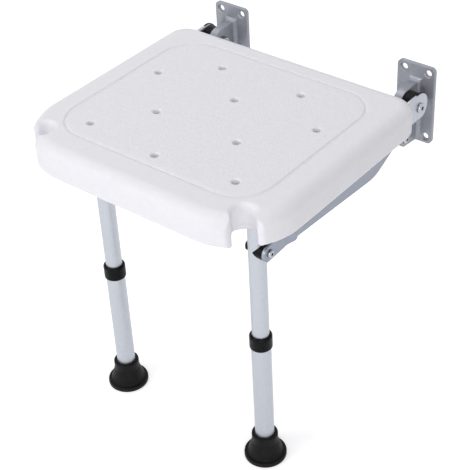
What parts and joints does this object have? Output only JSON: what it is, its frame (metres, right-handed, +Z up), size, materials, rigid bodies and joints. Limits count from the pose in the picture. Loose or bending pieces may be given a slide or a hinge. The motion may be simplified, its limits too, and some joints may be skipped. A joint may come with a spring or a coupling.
{
  "type": "fold-down wall seat",
  "caption": "White moulded shower seat that folds up against the wall, with two cast wall brackets, tube links and telescopic front legs on rubber feet",
  "frame": {"origin": "On the wall plane, in the middle of the bolt pattern of the two wall brackets", "axes": "+X to the right along the wall, +Y into the wall, +Z up"},
  "size_m": [0.382, 0.4, 0.455],
  "materials": {
    "white_plastic": "moulded",
    "black_plastic": "moulded",
    "anodised_aluminium": "anodised",
    "cast_bracket": "painted",
    "black_rubber": "moulded",
    "bright_steel": "chromed",
    "spring_steel": "plain"
  },
  "bodies": {
    "brackets": {"seat_pivot_bolts": "bright_steel", "seat_pivot_nuts": "bright_steel", "link_pivot_bolts": "bright_steel", "link_pivot_nuts": "bright_steel", "link_pivot_washers": "black_plastic", "left_wall_bracket": "cast_bracket", "left_seat_pivot_bush": "black_plastic", "right_wall_bracket": "cast_bracket", "right_seat_pivot_bush": "black_plastic"},
    "seat": {"seat_board": "white_plastic", "rear_cross_tube": "anodised_aluminium", "front_cross_tube": "anodised_aluminium", "seat_screws": "bright_steel", "left_frame_tube": "anodised_aluminium", "left_tube_end_core": "black_plastic", "right_frame_tube": "anodised_aluminium", "right_tube_end_core": "black_plastic"},
    "left_link": {"left_lower_link": "anodised_aluminium"},
    "left_upper_leg": {"left_upper_leg_tube": "anodised_aluminium", "left_leg_top_cap": "black_plastic", "left_link_spacer": "black_plastic", "left_frame_spacer": "black_plastic", "left_inner_saddles": "black_plastic", "left_leg_bolts": "bright_steel", "left_leg_barrel_nuts": "bright_steel", "left_spring_clip": "spring_steel"},
    "left_lower_leg": {"left_lower_leg_tube": "anodised_aluminium", "left_leg_collar": "black_plastic", "left_rubber_foot": "black_rubber"},
    "left_button": {"left_snap_button": "bright_steel"},
    "right_link": {"right_lower_link": "anodised_aluminium"},
    "right_upper_leg": {"right_upper_leg_tube": "anodised_aluminium", "right_leg_top_cap": "black_plastic", "right_link_spacer": "black_plastic", "right_frame_spacer": "black_plastic", "right_inner_saddles": "black_plastic", "right_leg_bolts": "bright_steel", "right_leg_barrel_nuts": "bright_steel", "right_spring_clip": "spring_steel"},
    "right_lower_leg": {"right_lower_leg_tube": "anodised_aluminium", "right_leg_collar": "black_plastic", "right_rubber_foot": "black_rubber"},
    "right_button": {"right_snap_button": "bright_steel"}
  },
  "joints": [
    {"name": "seat_fold", "type": "hinge", "parent": "brackets", "child": "seat", "pos_m": [0, -0.0335, 0.014], "axis": [-1, 0, 0], "range_deg": [0, 87]},
    {"name": "left_link_fold", "type": "hinge", "parent": "brackets", "child": "left_link", "pos_m": [-0.14, -0.0335, -0.0395], "axis": [-1, 0, 0], "range_deg": [0, 87]},
    {"name": "left_leg_fold", "type": "hinge", "parent": "seat", "child": "left_upper_leg", "pos_m": [-0.1228, -0.3078, -0.0029], "axis": [1, 0, 0], "range_deg": [0, 87]},
    {"name": "left_leg_height", "type": "slide", "parent": "left_upper_leg", "child": "left_lower_leg", "axis": [0, 0, -1], "range_m": [-0.0381, 0.0381]},
    {"name": "left_button_press", "type": "slide", "parent": "left_upper_leg", "child": "left_button", "axis": [0, -1, 0], "range_m": [0, 0.0045], "stiffness_N_per_m": 400},
    {"name": "right_link_fold", "type": "hinge", "parent": "brackets", "child": "right_link", "pos_m": [0.14, -0.0335, -0.0395], "axis": [-1, 0, 0], "range_deg": [0, 87]},
    {"name": "right_leg_fold", "type": "hinge", "parent": "seat", "child": "right_upper_leg", "pos_m": [0.1228, -0.3078, -0.0029], "axis": [1, 0, 0], "range_deg": [0, 87]},
    {"name": "right_leg_height", "type": "slide", "parent": "right_upper_leg", "child": "right_lower_leg", "axis": [0, 0, -1], "range_m": [-0.0381, 0.0381]},
    {"name": "right_button_press", "type": "slide", "parent": "right_upper_leg", "child": "right_button", "axis": [0, -1, 0], "range_m": [0, 0.0045], "stiffness_N_per_m": 400}
  ],
  "couplings": [
    {"joint": "left_link_fold", "follows": "seat_fold", "ratio": 1},
    {"joint": "left_leg_fold", "follows": "seat_fold", "ratio": 1},
    {"joint": "right_link_fold", "follows": "seat_fold", "ratio": 1},
    {"joint": "right_leg_fold", "follows": "seat_fold", "ratio": 1}
  ]
}
